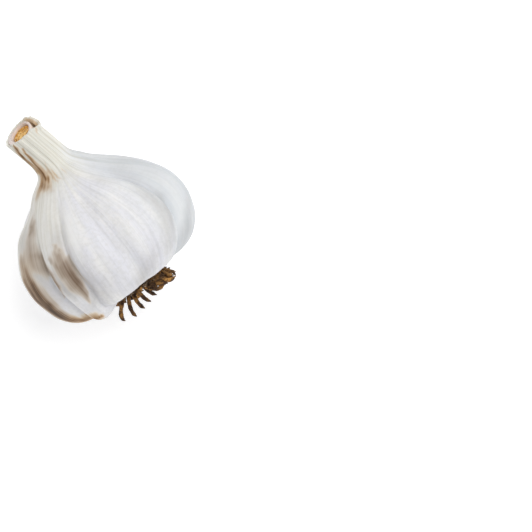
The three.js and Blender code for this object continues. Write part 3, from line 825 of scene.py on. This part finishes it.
ROOT_RINGS = (
    (7.2, 22, RIM_ROOTS),
    (4.7, 12, same_length(5, (-70, -38, -10, 14, 36, 58, 80, 104, 134, 168, 204, 246))),
    (2.2, 4, same_length(4.7, (-60, 0, 50, 100, 160, 230))),
)
ROOT_HOOK = {"way": 82, "amount": 0.34, "rise": 0.25, "upright": 0.7}
ROOT_START = 1.6
ROOT_RADIUS = 0.62
ROOT_SIDES = 10
ROOT_JOINTS = 20
ROOT_POINT = 0.84  # how far along a root starts to narrow to its point
CURLED_RADIUS = 0.7
ROOTLET_SIDES = 7
ROOTLET_JOINTS = 8
PLATE_COLUMNS = 72

# The long roots at the near side of the plate, which start nearer its middle and curl one after another.
CURLED_ROOTS = (
    {"way": -80, "radius": 3.7, "lean": 54, "length": 15.2, "hook": 0.36},
    {"way": -60, "radius": 3.8, "lean": 44, "length": 12.3, "hook": 0.28},
    {"way": -38, "radius": 4.9, "lean": 36, "length": 9.6, "hook": 0.24},
    {"way": -19, "radius": 6.2, "lean": 44, "length": 9.2, "hook": 0.23},
    {"way": -3, "radius": 5.1, "lean": -10, "length": 7.6, "hook": 0.22},
)

# The roots matted together at the side they hook towards: how thick, how pale, and their points as out to the
# upper side, out to way 90, and height.
MATTED_ROOTS = (
    (0.75, 1.3, ((5, 0.4, 0.8), (6.5, 0.4, -1.4), (7, 1.3, -2.8), (7, 2.7, -3.8), (6.5, 4.6, -4.1))),
    (0.75, 1.6, ((5.5, 4, 0.6), (6.4, 4.6, -1.2), (7, 5.4, -2.6), (7, 6.7, -3.8), (6, 8.9, -4.2))),
    (0.75, 0.4, ((6, 0.6, 0.4), (6.5, 0.8, -0.9), (7.5, 2.4, -1.8), (8, 4, -3), (8, 5.6, -3.8))),
    (0.6, 0.1, ((6, 1, 0.6), (6.8, 1.3, -0.6), (7.5, 3, -0.5), (7.8, 5, -0.7), (7.8, 6.3, -1.5))),
    (0.6, 0.2, ((6.8, 1.6, 0), (7.5, 2, -1.4), (8.3, 3.9, -1.1), (8.3, 5.6, -1.9))),
    (0.6, 0.6, ((4.5, 5.8, 0.8), (5.4, 6.5, -0.6), (6.5, 7.4, -2.4), (6, 8.5, -3.5))),
    (0.45, 0.2, ((3.5, 6.4, 1.2), (5, 7.6, -0.6), (5, 8.9, -2.3), (5.5, 9.2, -4.2))),
    (0.7, 1.8, ((6.2, -0.9, 1.2), (7.8, -1.8, -0.3), (8, -2.9, -1.3), (7.4, -4.3, -2.3))),
)

# The short dry rootlets matted among them: how many, the ways and radii between which they start, their
# heights, lengths and radii, how far they lean outwards, how strongly they hook with the others, and how grey
# they are.
ROOTLETS = (
    {"count": 110, "ways": (-100, 260), "start": (6.6, 8.0), "height": (-1.1, 0.8), "length": (1.2, 2.2),
     "radius": (0.14, 0.26), "lean": (50, 120), "hook": 0.2, "grey": 0.8},
    {"count": 40, "ways": (-6, 80), "start": (5.5, 8.0), "height": (-1.6, 0.0), "length": (1.4, 2.4),
     "radius": (0.28, 0.45), "lean": (20, 75), "hook": 0.45, "grey": 0.0},
)


def draw(i, k):
    """A repeatable draw between 0 and 1."""
    x = math.sin(i * 12.9898 + k * 78.233) * 43758.5453
    return x - math.floor(x)


def hooked_path(start, heading, sideways, length, stray, hook, joints):
    """Points along a root that sets out straight, strays sideways and hooks over to one side."""
    hc, hs = around(ROOT_HOOK["way"])
    hooked = Vector((hc, hs, ROOT_HOOK["rise"]))
    path = []
    for joint in range(joints + 1):
        run = joint / joints
        path.append(start + length * (heading * run + sideways * stray * run**2 + hooked * hook * run**3))
    return path


def curled_path(root):
    c, s = around(root["way"])
    start = Vector((c, s, 0)) * root["radius"] + Vector((0, 0, ROOT_START))
    lean_c, lean_s = around(root["lean"])
    heading = Vector((c * lean_s, s * lean_s, -lean_c))
    return hooked_path(start, heading, Vector((-s, c, 0)), root["length"], 0, root["hook"], ROOT_JOINTS)


def matted_path(points):
    """A smooth path through the points, which runs straight on at its ends."""
    keys = [Vector(point) for point in points]
    keys = [keys[0] * 2 - keys[1], *keys, keys[-1] * 2 - keys[-2]]
    path = []
    for joint in range(ROOT_JOINTS + 1):
        place = joint / ROOT_JOINTS * (len(points) - 1)
        i = min(int(place), len(points) - 2)
        t = place - i
        before, start, end, after = keys[i : i + 4]
        leave, arrive = (end - before) / 2, (after - start) / 2
        bend = (3 * end - 3 * start - 2 * leave - arrive) * t**2
        path.append((2 * start - 2 * end + leave + arrive) * t**3 + bend + leave * t + start)
    return path


def root_path(ring_radius, ring_lean, way, length, serial):
    way += 4 * (draw(serial, 1) - 0.5)
    c, s = around(way)
    facing = math.cos(math.radians(way - ROOT_HOOK["way"]))
    lean = math.radians(ring_lean * (1 - ROOT_HOOK["upright"] * facing) + 8 * (draw(serial, 2) - 0.5))
    outward, sideways = Vector((c, s, 0)), Vector((-s, c, 0))
    heading = outward * math.sin(lean) + Vector((0, 0, -math.cos(lean)))
    return hooked_path(
        outward * ring_radius + Vector((0, 0, ROOT_START)),
        heading,
        sideways,
        length * (0.95 + 0.1 * draw(serial, 3)),
        0.3 * (draw(serial, 4) - 0.5),
        ROOT_HOOK["amount"] * (0.75 + 0.5 * draw(serial, 5)),
        ROOT_JOINTS,
    )


def rootlet_path(kind, serial):
    low, high = kind["ways"]
    way = low + (high - low) * draw(serial, 1)
    c, s = around(way)
    lean, height, length = (
        kind[name][0] + (kind[name][1] - kind[name][0]) * draw(serial, k)
        for k, name in ((2, "lean"), (3, "height"), (4, "length"))
    )
    outward, sideways = Vector((c, s, 0)), Vector((-s, c, 0))
    heading = outward * math.sin(math.radians(lean)) + Vector((0, 0, -math.cos(math.radians(lean))))
    heading = (heading + sideways * 1.6 * (draw(serial, 5) - 0.5)).normalized()
    radius = kind["start"][0] + (kind["start"][1] - kind["start"][0]) * draw(serial, 6)
    start = outward * radius + Vector((0, 0, height))
    stray = 1.2 * (draw(serial, 7) - 0.5)
    return hooked_path(start, heading, sideways, length, stray, kind["hook"], ROOTLET_JOINTS)


def add_root(bm, path, radii, sides, shades):
    """A tapered, knotty root swept along a path and closed at both ends, with shades for all its vertices."""
    tip = bm.verts.layers.float["tip"]
    frames = []
    side = (path[1] - path[0]).orthogonal().normalized()
    for i, point in enumerate(path):
        ahead = (path[min(i + 1, len(path) - 1)] - path[max(i - 1, 0)]).normalized()
        side = (side - ahead * side.dot(ahead)).normalized()
        turn = Matrix((side, ahead.cross(side), ahead)).transposed().to_4x4()
        frames.append(Matrix.Translation(point) @ turn @ Matrix.Scale(radii[i], 4))
    ring = bmesh.ops.create_circle(bm, segments=sides, radius=1, matrix=frames[0])["verts"]
    grown = list(ring)
    edges = list({edge for vert in ring for edge in vert.link_edges})
    bmesh.ops.contextual_create(bm, geom=edges)
    for i, (before, after) in enumerate(zip(frames, frames[1:])):
        made = bmesh.ops.extrude_edge_only(bm, edges=edges)["geom"]
        ring = [part for part in made if isinstance(part, bmesh.types.BMVert)]
        fresh = set(ring)
        edges = [part for part in made if isinstance(part, bmesh.types.BMEdge) and set(part.verts) <= fresh]
        bmesh.ops.transform(bm, matrix=after @ before.inverted(), verts=ring)
        for vert in ring:
            vert[tip] = (i + 1) / (len(frames) - 1)
        grown += ring
    bmesh.ops.contextual_create(bm, geom=edges)
    for name, shade in shades.items():
        layer = bm.verts.layers.float[name]
        for vert in grown:
            vert[layer] = shade


def root_radii(thick, joints, serial):
    """A root's radius at each joint: knotty, a little thinner outwards, and drawn to a point at the end."""
    radii = []
    for joint in range(joints + 1):
        run = joint / joints
        knot = 1 + 0.22 * noise.noise(Vector((joint * 0.5, serial * 3.1, 0)))
        point = 1 - 0.82 * smooth(run, ROOT_POINT, 1.04)
        radii.append(thick * (1 - 0.2 * run) * knot * point)
    return radii


def make_roots(material):
    top = ROOT_HOLLOW["floor"] - GAP
    plate = [(0, -1.3), (2, -1.28), (4, -1.2), (ROOT_PLATE_RADIUS * 0.7, -1.05), (7.2, -0.6), (7.9, 0.1)]
    plate += [(8.2, 0.6), (ROOT_PLATE_RADIUS, 1.2), (ROOT_PLATE_RADIUS, top), (6, top), (0, top)]
    bm, _ = lathe(plate, PLATE_COLUMNS)
    for name in ("tip", "pale", "grey"):
        bm.verts.layers.float.new(name)
    grey = bm.verts.layers.float["grey"]
    for vert in bm.verts:
        vert[grey] = 0.5
        if vert.co.z < 1.0:
            vert.co += Vector((vert.co.x, vert.co.y, 0)).normalized() * 0.25 * noise.noise(vert.co * 0.8)
            vert.co.z += 0.4 * noise.noise(vert.co * 1.1)
    bmesh.ops.recalc_face_normals(bm, faces=bm.faces[:])
    serial = 0
    for ring_radius, lean, roots in ROOT_RINGS:
        for way, length in roots:
            path = root_path(ring_radius, lean, way, length, serial)
            radii = root_radii(ROOT_RADIUS * (0.8 + 0.4 * draw(serial, 6)), ROOT_JOINTS, serial)
            add_root(bm, path, radii, ROOT_SIDES, {"pale": 0.7 * draw(serial, 7)})
            serial += 1
    for root in CURLED_ROOTS:
        radii = root_radii(CURLED_RADIUS, ROOT_JOINTS, serial)
        add_root(bm, curled_path(root), radii, ROOT_SIDES, {"pale": 0.2 + 0.3 * draw(serial, 7)})
        serial += 1
    for thick, shade, points in MATTED_ROOTS:
        radii = root_radii(thick, ROOT_JOINTS, serial)
        add_root(bm, matted_path(points), radii, ROOT_SIDES, {"pale": shade})
        serial += 1
    for kind in ROOTLETS:
        for _ in range(kind["count"]):
            thick = kind["radius"][0] + (kind["radius"][1] - kind["radius"][0]) * draw(serial, 8)
            radii = root_radii(thick, ROOTLET_JOINTS, serial)
            shades = {"pale": draw(serial, 9), "grey": kind["grey"]}
            add_root(bm, rootlet_path(kind, serial), radii, ROOTLET_SIDES, shades)
            serial += 1
    bm.normal_update()
    for vert in bm.verts:
        vert.co += vert.normal * 0.08 * noise.noise(vert.co * 2.6)
    for vert in bm.verts:
        vert.co = laid(bent(0, 0, 0) + vert.co)
    return finished("root_plate_and_roots", bm, material, "root_tuft")


# ---- materials ----


def skin_material():
    material, start = new_material("papery garlic skin")
    grain = start.stored("grain", "Vector")
    brown, grey, pale, warm, seam, creamy, cool, inner = (
        start.stored(name) for name in ("brown", "grey", "pale", "warm", "seam", "creamy", "cool", "inner")
    )
    place = start.node("ShaderNodeTexCoord", output="Object")

    veins = grain.scaled(46, 46, 1.6).cloud(1.0, 2.0)
    streaks = grain.scaled(15, 15, 0.9).cloud(1.0, 3.0)
    ribs = grain.scaled(8, 8, 0.5).cloud(1.0, 3.0, 0.65)
    wide = grain.scaled(4, 4, 1.5).cloud(1.0, 2.0)
    blotch = place.cloud(90.0, 3.0)
    mottle = place.cloud(900.0, 2.0)

    white = wide.between(0.35, 0.65).mixed(tone(234, 234, 240), tone(243, 242, 241))
    skin = (streaks.between(0.46, 0.7) * 0.38).mixed(white, tone(207, 208, 214))
    skin = (veins.between(0.5, 0.72) * 0.22).mixed(skin, tone(203, 202, 201))
    skin = (mottle.between(0.42, 0.66) * 0.22).mixed(skin, tone(204, 203, 200))
    # painted shade: the seams' grooves greyed
    skin = (seam * 0.2).mixed(skin, tone(204, 206, 209))
    skin = (cool * 0.6).mixed(skin, tone(211, 216, 219))
    skin = (cool * ribs.between(0.42, 0.6) * 0.4).mixed(skin, tone(196, 203, 208))
    # painted light: whiter strips over flanks, swells and ribs that lie in shade
    skin = (pale * 0.9).mixed(skin, tone(252, 252, 252))
    skin = (creamy * (1 - cool) * 0.8).mixed(skin, tone(236, 234, 222))
    skin = (creamy * ribs.between(0.46, 0.62) * 0.5).mixed(skin, tone(192, 185, 164))
    skin = (creamy * veins.between(0.5, 0.7) * 0.3).mixed(skin, tone(200, 194, 176))
    # the same painted light, creamier where the skin is creamy
    skin = (pale * creamy * 0.5).mixed(skin, tone(244, 243, 234))
    # painted shade from the grey strokes
    skin = (grey * (0.7 + 0.5 * streaks)).kept().mixed(skin, tone(146, 140, 133))

    fibre = streaks.between(0.3, 0.7) * 0.5 + veins.between(0.3, 0.7) * 0.3 + blotch.between(0.3, 0.7) * 0.4
    amount = (brown * (0.6 + fibre * 0.65)).kept()
    dull_stops = (
        (0.0, tone(228, 226, 224)),
        (0.25, tone(206, 197, 186)),
        (0.5, tone(171, 156, 141)),
        (0.75, tone(127, 107, 89)),
        (1.0, tone(76, 60, 46)),
    )
    warm_stops = (
        (0.0, tone(232, 224, 210)),
        (0.25, tone(222, 205, 182)),
        (0.5, tone(190, 160, 126)),
        (0.75, tone(136, 100, 62)),
        (1.0, tone(80, 54, 30)),
    )
    stain = warm.mixed(amount.ramp(dull_stops), amount.ramp(warm_stops))
    skin = amount.between(0.02, 0.3).mixed(skin, stain)
    # tan inside the neck: the dry leaves' own colour, with painted shade in the gap on the torn side
    skin = (inner * 0.85).mixed(skin, tone(226, 200, 166))

    rough = 0.46 + veins * 0.12 + amount * 0.2
    height = veins * 0.5 + streaks * 0.6 + blotch * 0.25
    surface(
        start,
        Base_Color=skin,
        Roughness=rough,
        Normal=height.bumps(0.35, 0.3 * MM),
        Subsurface_Weight=0.12,
        Subsurface_Radius=(0.0025, 0.0022, 0.0018),
        Subsurface_Scale=1.0,
        Specular_IOR_Level=0.35,
    )
    return material


def sheath_material():
    material, start = new_material("dried inner leaf")
    grain = start.stored("grain", "Vector")
    shade = start.stored("tan")
    place = start.node("ShaderNodeTexCoord", output="Object")
    fibre = grain.scaled(30, 30, 3).cloud(1.0, 3.0)
    blotch = place.cloud(700.0, 3.0)
    leaf = fibre.between(0.35, 0.7).mixed(tone(250, 240, 238), tone(232, 214, 204))
    leaf = (shade * 0.6).mixed(leaf, tone(222, 192, 158))
    leaf = (blotch.between(0.5, 0.66) * 0.4).mixed(leaf, tone(216, 184, 154))
    surface(
        start,
        Base_Color=leaf,
        Roughness=0.6 + fibre * 0.15,
        Normal=(fibre + blotch * 0.5).bumps(0.5, 0.2 * MM),
        Subsurface_Weight=0.1,
        Subsurface_Radius=(0.002, 0.0015, 0.001),
        Subsurface_Scale=1.0,
    )
    return material


def core_material():
    material, start = new_material("dried stem core")
    place = start.node("ShaderNodeTexCoord", output="Object")
    blotch = place.cloud(520.0, 3.0)
    specks = place.cloud(1500.0, 2.0)
    wood = blotch.between(0.35, 0.65).mixed(tone(248, 206, 132), tone(214, 146, 40))
    wood = (specks.between(0.52, 0.62) * 0.8).mixed(wood, tone(132, 76, 30))
    relief = (specks + blotch * 0.6).bumps(0.7, 0.3 * MM)
    surface(start, Base_Color=wood, Roughness=0.75 + specks * 0.1, Normal=relief)
    return material


def root_material():
    material, start = new_material("dried roots")
    place = start.node("ShaderNodeTexCoord", output="Object")
    tip, pale, grey = (start.stored(name) for name in ("tip", "pale", "grey"))
    blotch = place.cloud(420.0, 3.0)
    specks = place.cloud(1500.0, 3.0)
    patch = blotch.between(0.4, 0.6)
    # in the roots this attribute holds only their own paler or darker tone, no painted light
    bark = (patch * (0.2 + pale * 0.8)).mixed(tone(66, 40, 14), tone(196, 142, 74))
    # in the roots this attribute holds only the grey of the dry rootlets and the plate, no painted shade
    bark = (grey * 0.8).mixed(bark, (patch * pale).mixed(tone(74, 60, 46), tone(186, 172, 152)))
    bark = (specks.between(0.5, 0.62) * 0.6).mixed(bark, tone(40, 24, 10))
    bark = (tip.between(0.75, 1.0) * 0.4).mixed(bark, tone(56, 34, 14))
    relief = (specks + blotch * 0.8).bumps(0.8, 0.4 * MM)
    surface(start, Base_Color=bark, Roughness=0.8 + specks * 0.1, Normal=relief)
    return material


def floor_material():
    material, start = new_material("white board")
    surface(
        start,
        Base_Color=(0.96, 0.96, 0.96, 1.0),
        Roughness=0.9,
        Emission_Color=(1.0, 1.0, 1.0, 1.0),
        Emission_Strength=0.33,
    )
    return material


# ---- the studio ----

# The camera's way round and rise, the width it takes in at the bulb, and the point at the picture's centre:
# how far right and up of the rest spot it is, and how far towards the camera.
CAMERA = {"way": 231.5, "rise": 78, "width": 154.3, "right": 48.1, "up": -4.7, "near": 26}
LENS = {"length": 800, "sensor": 36}

# The one soft light: its direction by the camera's axes, and its distance and size in metres.
KEY_LIGHT = {"right": 0.26, "up": 0.36, "toward": 0.85, "distance": 0.9, "size": 0.8, "power": 4.52}
LIT_HEIGHT = 0.025  # metres above the floor, where the light points
FLOOR_RADIUS = 3.0  # metres
SKY = {"light": 0.52, "more_when_seen": 0.4}


def camera_axes():
    """The directions to the right and up in the picture, and towards the camera."""
    c, s = around(CAMERA["way"])
    ce, se = around(CAMERA["rise"])
    return Vector((c, s, 0)), Vector((-s * se, c * se, ce)), Vector((s * ce, -c * ce, se))


def add_camera():
    right, up, toward = camera_axes()
    data = bpy.data.cameras.new("camera")
    data.lens = LENS["length"]
    data.sensor_width = LENS["sensor"]
    data.clip_start = 0.01
    distance = CAMERA["width"] * LENS["length"] / LENS["sensor"]
    place = right * CAMERA["right"] + up * CAMERA["up"] + toward * (CAMERA["near"] + distance)
    camera = bpy.data.objects.new("camera", data)
    bpy.context.scene.collection.objects.link(camera)
    turn = Matrix((right, up, toward)).transposed().to_4x4()
    camera.matrix_world = Matrix.Translation(place * MM) @ turn
    bpy.context.scene.camera = camera


def add_key_light():
    right, up, toward = camera_axes()
    direction = toward * KEY_LIGHT["toward"] + right * KEY_LIGHT["right"] + up * KEY_LIGHT["up"]
    direction.normalize()
    data = bpy.data.lights.new("key", "AREA")
    data.shape = "DISK"
    data.size = KEY_LIGHT["size"]
    data.energy = KEY_LIGHT["power"]
    light = bpy.data.objects.new("key", data)
    bpy.context.scene.collection.objects.link(light)
    turn = direction.to_track_quat("Z", "Y").to_matrix().to_4x4()
    place = direction * KEY_LIGHT["distance"] + Vector((0, 0, LIT_HEIGHT))
    light.matrix_world = Matrix.Translation(place) @ turn


def add_floor():
    bm = bmesh.new()
    bmesh.ops.create_circle(bm, cap_ends=True, segments=96, radius=FLOOR_RADIUS)
    mesh = bpy.data.meshes.new("floor")
    bm.to_mesh(mesh)
    bm.free()
    mesh.materials.append(floor_material())
    floor = bpy.data.objects.new("floor", mesh)
    bpy.context.scene.collection.objects.link(floor)


def add_sky():
    world = bpy.data.worlds.new("studio")
    world.use_nodes = True
    world.node_tree.nodes.clear()
    start = Value(world.node_tree)
    seen = start.node("ShaderNodeLightPath", output="Is Camera Ray")
    strength = SKY["light"] + seen * SKY["more_when_seen"]
    inputs = {"Color": (1.0, 1.0, 1.0, 1.0), "Strength": strength}
    background = start.node("ShaderNodeBackground", None, inputs)
    output = world.node_tree.nodes.new("ShaderNodeOutputWorld")
    world.node_tree.links.new(background.output, output.inputs["Surface"])
    bpy.context.scene.world = world


add_camera()
add_floor()
add_key_light()
add_sky()
bpy.context.scene.view_settings.view_transform = "Standard"
make_bulb(skin_material())
make_sheath(sheath_material())
make_stem_core(core_material())
make_roots(root_material())
